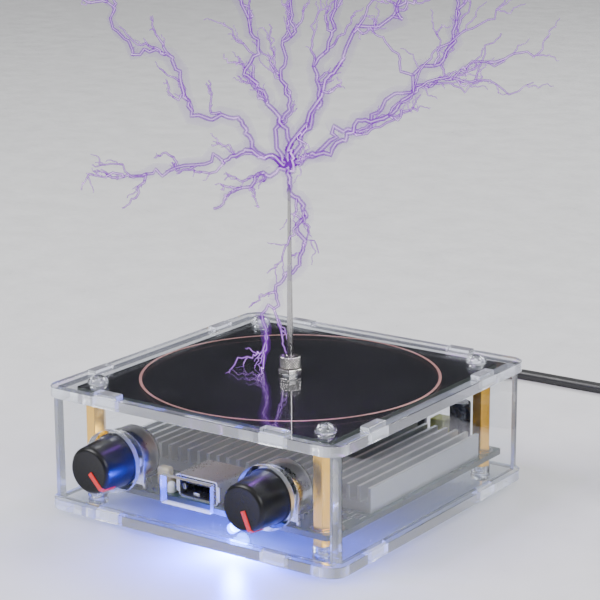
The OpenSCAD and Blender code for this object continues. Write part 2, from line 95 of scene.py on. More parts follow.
class Form:
    """A mesh being made. place says where its parts go, and slot which material they get."""

    def __init__(self, place=None):
        self.bm = bmesh.new()
        self.place = place or Matrix()
        self.slot = 0

    def add(self, points, faces):
        verts = [self.bm.verts.new(self.place @ Vector(p)) for p in points]
        for f in faces:
            face = self.bm.faces.new([verts[i] for i in f])
            face.material_index = self.slot
        return verts

    def lathe(self, outline, steps=48, closed=False, wave=None):
        """Turns an outline of (radius, height) points about the part's own Z.

        wave(angle, i) scales the radius of the outline's point i."""
        points, rings = [], []
        for i, (r, z) in enumerate(outline):
            rings.append(len(points))
            count = 1 if r == 0 else steps
            for k in range(count):
                a = TURN * k / steps
                reach = r * (wave(a, i) if wave else 1)
                points.append((reach * math.cos(a), reach * math.sin(a), z))
        rings.append(len(points))
        faces = []
        last = len(outline) - 1
        for i in list(range(last)) + ([last] if closed else []):
            j = (i + 1) % len(outline)
            a, b = rings[i], rings[j]
            na, nb = rings[i + 1] - a, rings[j + 1] - b
            for k in range(steps):
                n = (k + 1) % steps
                corners = [a + k % na, a + n % na, b + n % nb, b + k % nb]
                corners = [c for c, d in zip(corners, corners[1:] + corners[:1]) if c != d]
                if len(corners) > 2:
                    faces.append(corners)
        self.add(points, faces)

    def prism(self, outline, low, high, bevel=0.0, segments=2):
        """A straight-sided block on an outline of (x, y) points, with its edges rounded by bevel."""
        n = len(outline)
        points = [(*p, low) for p in outline] + [(*p, high) for p in outline]
        sides = [(i, (i + 1) % n, n + (i + 1) % n, n + i) for i in range(n)]
        verts = self.add(points, [tuple(range(n - 1, -1, -1)), tuple(range(n, 2 * n)), *sides])
        if bevel:
            edges = list({e for v in verts for e in v.link_edges})
            reach = bevel * self.place.median_scale
            bmesh.ops.bevel(self.bm, geom=edges, offset=reach, segments=segments, profile=0.5,
                            affect="EDGES")

    def block(self, low, high, bevel=0.0, segments=2):
        a, b = Vector(low), Vector(high)
        self.prism([(a.x, a.y), (b.x, a.y), (b.x, b.y), (a.x, b.y)], a.z, b.z, bevel, segments)

    def sleeve(self, outer, inner, low, high):
        """A straight tube between two outlines with the same number of points."""
        n = len(outer)
        points = [(*p, z) for loop in (outer, inner) for z in (low, high) for p in loop]
        faces = []
        for a, b in ((0, 1), (3, 2), (1, 3), (2, 0)):
            for k in range(n):
                j = (k + 1) % n
                faces.append((a * n + k, a * n + j, b * n + j, b * n + k))
        self.add(points, faces)

    def tube(self, path, radius, sides=10):
        """A round wire along a path, with closed ends."""
        path = [Vector(p) for p in path]
        n = len(path)
        points = []
        side = None
        for i, p in enumerate(path):
            ahead = (path[min(i + 1, n - 1)] - path[max(i - 1, 0)]).normalized()
            side = side or ahead.orthogonal()
            side = (side - ahead * side.dot(ahead)).normalized()
            other = ahead.cross(side)
            reach = radius(i / (n - 1)) if callable(radius) else radius
            for k in range(sides):
                a = TURN * k / sides
                points.append(p + (side * math.cos(a) + other * math.sin(a)) * reach)
        faces = [tuple(range(sides)), tuple(range((n - 1) * sides, n * sides))]
        for i in range(n - 1):
            for k in range(sides):
                j = (k + 1) % sides
                faces.append((i * sides + k, i * sides + j, (i + 1) * sides + j, (i + 1) * sides + k))
        self.add(points, faces)

    def carve(self, cutter):
        """Takes another form's shape away from this one."""
        objects = []
        for bm in (self.bm, cutter.bm):
            bmesh.ops.recalc_face_normals(bm, faces=bm.faces)
            mesh = bpy.data.meshes.new("carving")
            bm.to_mesh(mesh)
            objects.append(bpy.data.objects.new("carving", mesh))
            show(objects[-1])
        kept, tool = objects
        change = kept.modifiers.new("carve", "BOOLEAN")
        change.operation = "DIFFERENCE"
        change.solver = "EXACT"
        change.object = tool
        result = kept.evaluated_get(bpy.context.evaluated_depsgraph_get()).to_mesh()
        self.bm.clear()
        self.bm.from_mesh(result)
        cutter.bm.free()
        for o in objects:
            mesh = o.data
            bpy.data.objects.remove(o)
            bpy.data.meshes.remove(mesh)

    def done(self, name, materials, body="case", nodes=(), smooth=32, flat=math.inf):
        """Makes the piece. Faces that meet at under smooth degrees are shaded round, and large ones flat."""
        bmesh.ops.remove_doubles(self.bm, verts=self.bm.verts, dist=WELD)
        bmesh.ops.recalc_face_normals(self.bm, faces=self.bm.faces)
        mesh = bpy.data.meshes.new(name)
        self.bm.to_mesh(mesh)
        self.bm.free()
        mesh.shade_smooth()
        mesh.set_sharp_from_angle(angle=math.radians(smooth))
        for face in mesh.polygons:
            face.use_smooth = face.area < flat * MM**2
        for mat in materials:
            mesh.materials.append(mat)
        piece = bpy.data.objects.new(name, mesh)
        show(piece)
        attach(piece, body)
        if nodes:
            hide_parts(*nodes)
        return piece


# ---- Lead: the free stretch, the stowed coil and the last stretch to the adapter ----
LEAD_D = 3.5
LEAD_Z = 1.75
UPPER_Z = LEAD_Z + LEAD_D
COIL_X, COIL_Y, COIL_MID_R = 84, 117, 21
COIL_LAYER = 4  # turns side by side
COIL_TURNS = 7.25
LEAD = [(-30, 82, 17.1), (-30, 88, 17.1), (-30, 95, 16), (-30, 102, 13.2), (-30, 109, 9.2),
        (-29.8, 116, 5.2), (-29, 123, 2.6), (-26.6, 130, LEAD_Z), (-22, 136, LEAD_Z), (-15.4, 140.4, LEAD_Z),
        (-8, 142.6, LEAD_Z), (0, 143.25, LEAD_Z), (10, 143.25, LEAD_Z), (20, 143.25, LEAD_Z),
        (30, 143.25, LEAD_Z), (40, 143.25, LEAD_Z), (50, 143.25, LEAD_Z), (60, 143.25, LEAD_Z),
        (67, 143.25, LEAD_Z), (74, 143.25, LEAD_Z)]
TAIL = [(110.25, 108, UPPER_Z), (110.25, 103, UPPER_Z), (110.25, 98, UPPER_Z)]


def smoothstep(t):
    t = min(max(t, 0.0), 1.0)
    return t * t * (3 - 2 * t)


def coil_points(steps=24):
    """Clockwise turns from the top of the coil: a layer inward on the table, then one outward above it."""
    radii = [COIL_MID_R + ((COIL_LAYER - 1) / 2 - k) * LEAD_D for k in range(COIL_LAYER)]
    inmost, outmost = COIL_LAYER - 1, 2 * COIL_LAYER - 1
    points = []
    for i in range(int(COIL_TURNS * steps) + 1):
        turn, part = divmod(i / steps, 1)
        turn = int(turn)
        late = math.pi / 2 * smoothstep((part - 0.5) * 2)
        z = LEAD_Z if turn < COIL_LAYER else UPPER_Z
        if turn < inmost:
            r = radii[turn + 1] + LEAD_D * math.cos(late)
        elif turn == inmost:
            r = radii[inmost]
            z = LEAD_Z + LEAD_D * math.sin(late)
        elif turn < outmost:
            r = radii[outmost - turn] + LEAD_D * smoothstep(part * 2)
        else:
            r = radii[0]
        a = math.pi / 2 - TURN * part
        points.append((COIL_X + r * math.cos(a), COIL_Y + r * math.sin(a), z))
    return points


def through(points, steps=4):
    """A smooth curve through the points, as a denser list of points."""
    p = [Vector(q) for q in points]
    dense = []
    for i in range(len(p) - 1):
        a, b, c, d = p[max(i - 1, 0)], p[i], p[i + 1], p[min(i + 2, len(p) - 1)]
        for s in range(steps):
            t = s / steps
            squared = (2 * a - 5 * b + 4 * c - d) * t**2
            cubed = (3 * b - a - 3 * c + d) * t**3
            dense.append(0.5 * (2 * b + (c - a) * t + squared + cubed))
    return dense + [p[-1]]


def add_lead():
    route = [at(*p) for p in through(LEAD + coil_points() + TAIL)]
    form = Form()
    form.tube(route, LEAD_D / 2 * MM, 14)
    nodes = ["power_lead", "lead_coil", "lead_tail"]
    piece = form.done("lead", [], nodes=nodes, smooth=60)
    length = sum((b - a).length for a, b in zip(route, route[1:]))
    return piece, route, length


lead, lead_route, lead_length = add_lead()

# ---- Materials ----
NOISE_LOW, NOISE_HIGH = 0.3, 0.7
BROAD_NOISE = 60.0  # clouds in a metre
PASSED = 0.92  # the share of lamp light that clear plastic lets through


def node(tree, kind, **values):
    """A new node with its inputs or settings filled in."""
    n = tree.nodes.new("ShaderNode" + kind)
    for key, value in values.items():
        if key in n.inputs:
            n.inputs[key].default_value = value
        else:
            setattr(n, key, value)
    return n


def join(source, output, target, socket):
    """Links one node's output to another's input."""
    source.id_data.links.new(source.outputs[output], target.inputs[socket])


def new_material(name, **values):
    """A material, its nodes and its shader, with the shader's inputs filled in."""
    mat = bpy.data.materials.new(name)
    mat.use_nodes = True
    base = mat.node_tree.nodes["Principled BSDF"]
    for key, value in values.items():
        base.inputs[key].default_value = value
    return mat, mat.node_tree, base


def object_noise(tree, scale, detail, **values):
    """Noise in the object's own space, finer along an axis where scale is larger."""
    coords = node(tree, "TexCoord")
    mapping = node(tree, "Mapping", Scale=scale)
    noise = node(tree, "TexNoise", Scale=1.0, Detail=detail, **values)
    join(coords, "Object", mapping, "Vector")
    join(mapping, "Vector", noise, "Vector")
    return noise.outputs["Fac"]


def vary_gloss(tree, base, noise, least, most):
    """Lets the roughness follow a noise, whose values lie mostly between NOISE_LOW and NOISE_HIGH."""
    limits = {"From Min": NOISE_LOW, "From Max": NOISE_HIGH, "To Min": least, "To Max": most}
    gloss = node(tree, "MapRange", **limits)
    tree.links.new(noise, gloss.inputs["Value"])
    join(gloss, "Result", base, "Roughness")


def raise_relief(tree, base, noise, strength, depth):
    """Lets a noise raise the surface, by a depth in millimetres."""
    relief = node(tree, "Bump", Strength=strength, Distance=depth * MM)
    tree.links.new(noise, relief.inputs["Height"])
    join(relief, "Normal", base, "Normal")


def surface(name, colour, rough=0.5, metal=0.0, spread=0.1, grain=0.5, stretch=(1, 1, 1), bump=0.08,
            coat=0.0, sheen=0.0, depth=0.02, level=0.5):
    """A procedural surface: fine noise of a grain in millimetres varies its colour, gloss and relief."""
    settings = {"Metallic": metal, "Specular IOR Level": level, "Coat Weight": coat,
                "Coat Roughness": 0.08, "Sheen Weight": sheen}
    mat, tree, base = new_material(name, **settings)
    fine = object_noise(tree, [1 / (grain * MM * s) for s in stretch], 4.0, Roughness=0.6)
    broad = object_noise(tree, [BROAD_NOISE] * 3, 2.0)
    blend = node(tree, "Mix", data_type="FLOAT")
    blend.inputs["Factor"].default_value = 0.5
    tree.links.new(fine, blend.inputs["A"])
    tree.links.new(broad, blend.inputs["B"])
    ramp = node(tree, "ValToRGB")
    dark, light = ramp.color_ramp.elements
    dark.position, light.position = NOISE_LOW, NOISE_HIGH
    dark.color = (*[c * (1 - spread) for c in colour], 1)
    light.color = (*[min(c * (1 + spread), 1) for c in colour], 1)
    join(blend, "Result", ramp, "Fac")
    join(ramp, "Color", base, "Base Color")
    vary_gloss(tree, base, blend.outputs["Result"], rough * 0.75, min(rough * 1.25, 1))
    raise_relief(tree, base, fine, bump, depth)
    return mat


def clear(name, tint=(0.96, 0.98, 1.0), rough=0.01, streaks=(2, 2, 2), bump=0.0, ior=1.49, frost=0.0,
          level=0.5):
    """Clear plastic. Lamp light and bounced light pass straight through, so that what is inside is lit."""
    settings = {"Transmission Weight": 1 - frost, "IOR": ior, "Specular IOR Level": level,
                "Base Color": (*tint, 1)}
    mat, tree, base = new_material(name, **settings)
    noise = object_noise(tree, [1 / (s * MM) for s in streaks], 3.0)
    vary_gloss(tree, base, noise, rough * 0.5, rough * 1.5)
    if bump:
        raise_relief(tree, base, noise, bump, 0.05)
    window = node(tree, "BsdfTransparent", Color=(*[PASSED * c for c in tint], 1))
    rays = node(tree, "LightPath")
    either = node(tree, "Math", operation="MAXIMUM")
    mix = node(tree, "MixShader")
    join(rays, "Is Shadow Ray", either, 0)
    join(rays, "Is Diffuse Ray", either, 1)
    join(either, 0, mix, 0)
    join(base, 0, mix, 1)
    join(window, 0, mix, 2)
    join(mix, 0, tree.nodes["Material Output"], "Surface")
    return mat


def lit(mat, colour, strength):
    """Makes a material give light of its own."""
    base = mat.node_tree.nodes["Principled BSDF"]
    base.inputs["Emission Color"].default_value = (*colour, 1)
    base.inputs["Emission Strength"].default_value = strength


ACRYLIC = clear("acrylic", rough=0.006, streaks=(30, 30, 30), level=0.3)
# The clear sheets' cut edges give a faint light of their own: a painted glow that stands in for the light
# the edges catch.
EDGE_PAINTED_GLOW = (0.8, 0.84, 1.0)
PLATE_EDGE = clear("plate_edge", rough=0.12, streaks=(0.7, 0.7, 9), bump=0.1, frost=0.2)
SIDE_EDGE = clear("side_edge", rough=0.12, streaks=(0.7, 0.7, 0.7), bump=0.06, frost=0.15)
lit(PLATE_EDGE, EDGE_PAINTED_GLOW, 0.16)
lit(SIDE_EDGE, EDGE_PAINTED_GLOW, 0.1)
NYLON = clear("clear_nylon", tint=(0.93, 0.95, 0.97), rough=0.07, streaks=(1.5, 1.5, 1.5), bump=0.15,
              ior=1.53)
BRASS = surface("brass", (0.92, 0.50, 0.05), 0.2, 1.0, stretch=(1, 1, 12))
LACQUER_GREEN = surface("board_green", (0.02, 0.05, 0.042), 0.3, spread=0.25, grain=1.4, coat=0.4)
LAMINATE = surface("laminate_edge", (0.055, 0.065, 0.055), 0.6, spread=0.2, grain=0.25,
                   stretch=(4, 4, 1), bump=0.2)
LACQUER_BLACK = surface("board_black", (0.007, 0.007, 0.009), 0.22, spread=0.3, grain=1.6, bump=0.04,
                        coat=0.2, level=0.3)
COPPER = surface("copper", (0.96, 0.48, 0.39), 0.32, 0.7, grain=0.4)
MAGNET_WIRE = surface("magnet_wire", (0.55, 0.2, 0.07), 0.3, 0.6, spread=0.15, coat=0.6)
NICKEL = surface("nickel", (0.72, 0.70, 0.68), 0.2, 1.0, spread=0.06, grain=0.4, bump=0.05)
# A darker copy of the nickel for the bottoms of the knurl's grooves: painted shade in the hollows.
GROOVE_SHADE = surface("nickel_groove_painted_shade", (0.13, 0.125, 0.12), 0.45, 0.8, spread=0.2, grain=0.2, bump=0.1)
STEEL = surface("steel", (0.46, 0.45, 0.45), 0.18, 1.0, spread=0.08, grain=0.3, stretch=(1, 1, 14),
                bump=0.06)
TIN = surface("tin", (0.66, 0.66, 0.66), 0.3, 1.0, grain=0.7)
SINK = surface("sink", (0.50, 0.52, 0.54), 0.42, 0.85, grain=0.28, stretch=(1, 60, 1), bump=0.22)
# A lighter, less metallic copy of the heatsink's metal for the fins' top faces: a painted highlight where
# light falls on them.
SINK_TOP_HIGHLIGHT = surface("sink_top_painted_highlight", (0.9, 0.91, 0.92), 0.4, 0.35, spread=0.08, grain=0.2, stretch=(1, 1, 6),
                   bump=0.15)
KNOB = surface("knob_black", (0.008, 0.008, 0.009), 0.33, spread=0.3, grain=0.22, bump=0.16, level=0.28)
RED = surface("pointer_red", (0.72, 0.02, 0.015), 0.38, grain=0.3, bump=0.1, coat=0.2)
MOULDED = surface("moulded_black", (0.016, 0.016, 0.017), 0.45, spread=0.3, grain=0.25, bump=0.2)
GOLD = surface("contact_gold", (0.9, 0.65, 0.25), 0.25, 1.0, spread=0.06, grain=0.3, bump=0.04)
SOLDER = surface("solder", (0.72, 0.72, 0.73), 0.25, 1.0, spread=0.12, bump=0.12)
CHIP = surface("chip_black", (0.022, 0.022, 0.024), 0.5, spread=0.25, grain=0.15, bump=0.2)
RESISTOR = surface("resistor_black", (0.03, 0.03, 0.032), 0.35, spread=0.2, grain=0.2)
CERAMIC_TAN = surface("ceramic_tan", (0.48, 0.33, 0.2), 0.45, spread=0.12, grain=0.2)
BEIGE = surface("film_beige", (0.62, 0.52, 0.33), 0.35, bump=0.1, coat=0.3)
YELLOW = surface("box_yellow", (0.42, 0.45, 0.12), 0.35, spread=0.12, grain=0.4, coat=0.2)
SLEEVE = surface("can_sleeve", (0.012, 0.016, 0.032), 0.25, spread=0.2, grain=0.8, bump=0.05, coat=0.5)
CAN_TOP = surface("can_top", (0.75, 0.75, 0.76), 0.28, 1.0, spread=0.06, grain=0.3, bump=0.06)
FERRITE = surface("ferrite", (0.045, 0.045, 0.05), 0.6, spread=0.2, grain=0.15, bump=0.25)
WHITE_PRINT = surface("white_print", (0.75, 0.76, 0.74), 0.6, spread=0.06, grain=0.2, bump=0.05)
SHEATH = surface("lead_black", (0.014, 0.014, 0.015), 0.4, spread=0.25, bump=0.12, depth=0.03)
WEAVE = surface("tie_weave", (0.06, 0.06, 0.062), 0.85, spread=0.4, grain=0.25, stretch=(2, 1, 1),
                bump=0.8, sheen=0.4, depth=0.08)
LAMP_WHITE = surface("lamp_white", (0.86, 0.88, 0.92), 0.2, spread=0.05, bump=0.05, coat=0.6)
LAMP_BLUE = surface("lamp_blue", (0.12, 0.3, 1.0), 0.15, spread=0.05, bump=0.04, coat=0.6)
lit(LAMP_BLUE, (0.12, 0.28, 1.0), 30.0)

FORWARD = Matrix.Rotation(math.pi / 2, 4, "X")
BACKWARD = Matrix.Rotation(-math.pi / 2, 4, "X")
DOWN = Matrix.Rotation(math.pi, 4, "X")
POSTS = [(x, y) for x in (-39, 39) for y in (-39, 39)]
BOARD_LOW, BOARD_HIGH = 10, 11.6  # the main board's two faces
COIL_BOARD_LOW = 33.5


def mm_place(x, y, z, turn=None):
    """A place in case millimetres whose own units are millimetres, turned by a rotation matrix."""
    return Matrix.Translation(at(x, y, z)) @ (turn or Matrix()) @ Matrix.Scale(MM, 4)


CASE = mm_place(0, 0, 0)


def span(name):
    """A CAD node's lowest and highest corners, in case millimetres."""
    return [corner / MM - Vector((0, CASE_Y, 0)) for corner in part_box(name)]


def rounded(w, h, r, steps=4, middle_at=(0, 0)):
    """A rectangle's outline with round corners."""
    points = []
    for k in range(4):
        x = (w / 2 - r) * (1 if k in (0, 3) else -1)
        y = (h / 2 - r) * (1 if k < 2 else -1)
        for s in range(steps + 1):
            a = TURN * (k + s / steps) / 4
            points.append((middle_at[0] + x + r * math.cos(a), middle_at[1] + y + r * math.sin(a)))
    return points


def dome(r, low, high, steps=6):
    """A dome's outline, from its rim in to its top."""
    angles = [TURN / 4 * s / steps for s in range(steps)]
    return [(r * math.cos(a), low + (high - low) * math.sin(a)) for a in angles] + [(0, high)]


def thread(r, depth, low, high, pitch):
    """A screw thread's outline, from low to high, as V-shaped rings."""
    count = int(abs(high - low) / pitch)
    step = (high - low) / count
    points = []
    for k in range(count):
        points += [(r - depth, low + k * step), (r, low + (k + 0.5) * step)]
    return points + [(r - depth, high)]


def softened(name, bevel, materials, pick=None, body="case", lift=0.0):
    """A copy of a CAD node with its sharp edges rounded. pick chooses a face's material."""
    form = Form()
    form.bm.from_mesh(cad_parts[name].data)
    bm = form.bm
    bmesh.ops.remove_doubles(bm, verts=bm.verts, dist=CAD_WELD)
    bmesh.ops.dissolve_limit(bm, angle_limit=math.radians(0.5), verts=bm.verts, edges=bm.edges)
    bmesh.ops.translate(bm, vec=(0, 0, lift * MM), verts=bm.verts)
    bm.normal_update()
    for f in bm.faces:
        f.material_index = pick(f.normal, f.calc_center_median() / MM) if pick else 0
    inner = [e for e in bm.edges if len(e.link_faces) == 2]
    sharp = [e for e in inner if e.calc_face_angle() > math.radians(35)]
    bmesh.ops.bevel(bm, geom=sharp, offset=bevel * MM, segments=2, profile=0.5, affect="EDGES",
                    clamp_overlap=True)
    return form.done(name + "_piece", materials, body, [name], smooth=20, flat=12)


def broad_faces(axis):
    """A pick that gives a sheet's two broad faces the first material, and its edges the second."""
    return lambda normal, centre: 0 if abs(normal[axis]) > 0.9 else 1


# ---- Clear case ----


def add_case():
    for axis, edge, names in ((2, PLATE_EDGE, ("base_plate", "top_plate")),
                              (1, SIDE_EDGE, ("front_panel", "back_panel")),
                              (0, SIDE_EDGE, ("left_panel", "right_panel"))):
        for name in names:
            softened(name, 0.12, [ACRYLIC, edge], broad_faces(axis))


# ---- Screws, nuts and posts ----


def pan_screw(form, head_r, head_h, shank_r, shank, pitch):
    """A pan-head screw with a cross recess. Its head stands on the part's own plane, its shank below."""
    head = Form(form.place)
    rim = 0.35 * head_h
    crown = [(head_r, rim)] + dome(head_r, rim, head_h)[1:]
    shank_line = thread(shank_r, 0.14, -0.3, -shank + 0.3, pitch)
    head.lathe([(0, -shank), (shank_r - 0.35, -shank), *reversed(shank_line), (shank_r - 0.1, 0.02),
                (head_r - 0.15, 0.02), (head_r, 0.15), *crown], 40)
    cutter = Form(form.place)
    arm, half = 0.5 * head_r, 0.1 * head_r
    cross = [(half, half), (half, arm), (-half, arm), (-half, half), (-arm, half), (-arm, -half),
             (-half, -half), (-half, -arm), (half, -arm), (half, -half), (arm, -half), (arm, half)]
    cutter.prism(cross, 0.45 * head_h, head_h + 1)
    head.carve(cutter)
    mesh = bpy.data.meshes.new("screw")
    head.bm.to_mesh(mesh)
    head.bm.free()
    form.bm.from_mesh(mesh)
    bpy.data.meshes.remove(mesh)


def add_fasteners():
    head_r, shank_r, pitch = 2.95, 1.47, 0.5
    top = span("top_screws")[1].z
    counterbore = span("top_plate")[1].z - 0.8
    form = Form()
    for x, y in POSTS:
        tightened = Matrix.Rotation(0.4 + x / 60, 4, "Z")
        form.place = mm_place(x, y, counterbore, tightened)
        pan_screw(form, head_r, top - counterbore, shank_r, shank=7.5, pitch=pitch)
    form.done("top_screw_set", [NYLON], nodes=["top_screws"])
    foot_h = 2
    form = Form()
    for x, y in POSTS:
        form.place = mm_place(x, y, foot_h, DOWN)
        pan_screw(form, head_r, foot_h - 0.02, shank_r, shank=6.4, pitch=pitch)
    form.done("foot_screw_set", [NYLON], nodes=["foot_screws"])
    softened("base_nuts", 0.25, [NYLON], lift=HAIR)
    softened("lower_posts", 0.2, [BRASS])
    softened("upper_posts", 0.25, [BRASS])
    form = Form()
    for x in (-34, 34):
        for y in (-18.5, 26.5):
            form.place = mm_place(x, y, BOARD_LOW - 0.02, DOWN)
            pan_screw(form, head_r=2.45, head_h=1.15, shank_r=1.45, shank=3.2, pitch=0.45)
    form.done("heatsink_screw_set", [STEEL], nodes=["heatsink_screws"])


# ---- Coil board, copper loop, winding and links ----


def add_coil():
    softened("coil_board", 0.06, [LACQUER_BLACK, LAMINATE], broad_faces(2), lift=-0.05)
    low, high = span("copper_ring")
    r_out, r_in = high.x, high.x - 0.8
    z = low.z - HAIR
    form = Form(CASE)
    form.lathe([(r_in, z), (r_out, z), (r_out, z + 0.07), (r_out - 0.05, z + 0.09), (r_in + 0.05, z + 0.09),
                (r_in, z + 0.07)], 160, closed=True)
    form.done("copper_loop", [COPPER], nodes=["copper_ring"])
    add_winding(turns=45, pitch=0.5, inner=12.2)
    add_links()


def add_winding(turns, pitch, inner):
    """The flat spiral of fine wire under the coil board."""
    steps = 56
    spiral = []
    for i in range(turns * steps + 1):
        a = TURN * i / steps
        r = inner + pitch * i / steps
        spiral.append((r * math.cos(a), r * math.sin(a), COIL_BOARD_LOW - 0.16))
    form = Form(CASE)
    form.tube(spiral, 0.2, 5)
    form.done("spiral_winding", [MAGNET_WIRE], nodes=["coil_winding"])


def add_links():
    """Two slightly bowed wires from board to board, with a cone of solder at each end."""
    steps, bow, y = 16, 0.12, 38
    low, rise = BOARD_HIGH + 0.1, 21.8
    form = Form(CASE)
    for x in (-5, 0):
        path = [(x + bow * math.sin(TURN * t / 8), y + bow * math.sin(TURN * t / 5), low + rise * t / steps)
                for t in range(steps + 1)]
        form.slot = 0
        form.tube(path, 0.42)
        form.slot = 1
        for z, tip in ((BOARD_HIGH + 0.02, 12.5), (COIL_BOARD_LOW + 0.08, 32.8)):
            form.tube([(x, y, z), (x, y, (z + tip) / 2), (x, y, tip)], lambda t: 0.6 - 0.14 * t)
    form.done("board_links", [MAGNET_WIRE, SOLDER], nodes=["coil_leads"])


# ---- Needle, its seat and its thumb nut ----


def add_needle():
    softened("needle_seat", 0.22, [NICKEL], lift=HAIR)
    foot, tip = (corner.z for corner in span("discharge_needle"))
    thread_top, taper_foot, core_r, shaft_r = 36.2, 45.2, 1.2, 0.95
    form = Form(CASE)
    form.lathe([(0, foot), (core_r, foot), *thread(1.44, 0.16, foot + 0.3, thread_top, 0.5),
                (core_r, thread_top + 0.4), (shaft_r, thread_top + 0.4), (shaft_r, taper_foot),
                (0.4, tip - 4), (0.25, tip - 2), (0.12, tip - 0.3), (0.05, tip - 0.06), (0, tip)], 40)
    form.done("needle_pin", [STEEL], "needle", ["discharge_needle"])


def add_thumb_nut():
    low, high = span("thumb_nut")
    base, top, r = low.z, high.z, high.x
    rows, grooves, lean, depth, rim, bore_r = 14, 12, 0.065, 0.07, 0.2, 1.02
    side = [(r, base + rim + (top - base - 2 * rim) * k / rows) for k in range(rows + 1)]

    def knurl(a, i):
        """Two crossed sets of grooves around the nut's side, whose rows are points 2 to rows + 2."""
        if not 2 <= i <= rows + 2:
            return 1
        shift = (i - 2) * lean
        return 1 - depth * (1 - abs(math.sin(grooves * (a + shift)) * math.sin(grooves * (a - shift))))

    form = Form(CASE)
    form.lathe([(bore_r, base), (r - 0.28, base), *side, (r - 0.28, top), (1.3, top), (bore_r, top - rim)],
               240, closed=True, wave=knurl)
    axis = at(0, 0, 0).xy
    # Faces at the bottoms of the grooves get the darker nickel: painted shade in the knurl's hollows.
    for face in form.bm.faces:
        centre = face.calc_center_median()
        reach = (centre.xy - axis).length / MM
        if base + rim < centre.z / MM < top - rim and r * 0.9 < reach < r * 0.96:
            face.material_index = 1
    form.done("knurled_nut", [NICKEL, GROOVE_SHADE], "needle_nut", ["thumb_nut"], smooth=20)


# ---- Heatsink and power transistors ----


def add_heatsink():
    top = span("heatsink")[1].z
    # The fins' upward faces at the top take the lighter copy of the metal, a painted highlight.
    softened("heatsink", 0.07, [SINK, SINK_TOP_HIGHLIGHT], lambda n, c: 1 if n.z > 0.9 and c.z > top - 1 else 0)


def add_transistors():
    low, high = span("power_transistors")
    tab = high.z - 0.02
    form = Form(CASE)
    for x in (-14, 14):
        form.slot = 0
        form.block((x - 4.9, low.y + 1.5, low.z), (x + 4.9, high.y - 1, high.z - 0.15), 0.25)
        form.slot = 1
        form.block((x - 4.4, high.y - 1.2, high.z - 1), (x + 4.4, high.y, tab), 0.1)
        for leg in (x - 2.54, x, x + 2.54):
            form.block((leg - 0.4, low.y, high.z - 0.5), (leg + 0.4, low.y + 1.6, tab), 0.08)
            form.block((leg - 0.4, low.y + 1, high.z - 1.3), (leg + 0.4, low.y + 1.6, high.z - 0.4), 0.08)
    form.done("transistor_pair", [CHIP, TIN], nodes=["power_transistors"])


# ---- Controls ----


def add_pot(side, place, deck):
    """A potentiometer whose sheet-metal front cup holds a black back. deck is the board's height on it."""
    cup_r, cover_r, back_r = 8.22, 8.0, 7.2
    form = Form(place)
    form.lathe([(3.1, 0), (7.8, 0), (8.1, -0.1), (cup_r, -0.4), (cup_r, -2.4)], 64)
    form.lathe([(cup_r, -2.4), (cover_r, -2.5), (cover_r, -6.6), (7.6, -7), (0, -7)], 64)
    form.block((-7.9, deck + 1.2, -1.1), (7.9, 0.5, -0.02), 0.25)
    for x in (-7.6, 7.6):
        form.block((x - 0.5, deck, -1), (x + 0.5, deck + 1.6, -0.3), 0.1)
    form.block((6.2, -1.2, -0.3), (7.2, 1.2, 1.6), 0.15)
    for x in (-5, 0, 5):
        form.block((x - 0.55, deck - 0.01, -6.2), (x + 0.55, -6, -5.8), 0.08)
    form.slot = 1
    form.block((-6.9, deck + 2.2, -8.4), (6.9, 0.2, -1.2), 0.4)
    form.lathe([(back_r, -6.9), (back_r, -8.2), (back_r - 0.3, -8.45), (0, -8.45)], 64)
    form.done(side + "_pot_piece", [TIN, RESISTOR], nodes=[side + "_pot"])


def add_knob(side, place):
    """A tapered knob: its bore, a skirt with a rolled edge, and a slightly dished cap."""
    bore_r, bore, skirt_r, face = 3.02, 10, 7.8, 12
    form = Form(place)
    form.lathe([(0, bore), (bore_r, bore), (bore_r, 0), (7.45, 0), (7.72, 0.08), (skirt_r, 0.3),
                (skirt_r, 0.95), (7.72, 1.15), (7.5, 1.35), (7.42, 2), (6.72, 10.9), (6.62, 11.2),
                (6.1, face - 0.15), (5.85, face - 0.03), (5.6, face), (5.4, face - 0.05),
                (0, face - 0.15)], 96)
    form.done(side + "_knob_piece", [KNOB], side + "_dial", [side + "_knob"])


def add_control(side):
    low, high = span(side + "_pot")
    knob_low, knob_high = span(side + "_knob")
    x, z = (low.x + high.x) / 2, (knob_low.z + knob_high.z) / 2
    add_pot(side, mm_place(x, low.y, z, FORWARD), low.z - z + 0.02)
    form = Form(mm_place(x, low.y, z, FORWARD))
    bore_r = 3.06
    form.lathe([(bore_r, 0.05), (3.3, 0.05), *thread(3.5, 0.22, 0.15, 2.7, 0.5), (3.2, 3), (bore_r, 3)], 56,
               closed=True)
    form.done(side + "_bushing_piece", [NICKEL], nodes=[side + "_bushing"])
    softened(side + "_shaft", 0.3, [STEEL], body=side + "_dial")
    add_knob(side, mm_place(x, knob_high.y, z, FORWARD))
    softened(side + "_pointer", 0.12, [RED], body=side + "_dial")


# ---- Data port and lamps ----


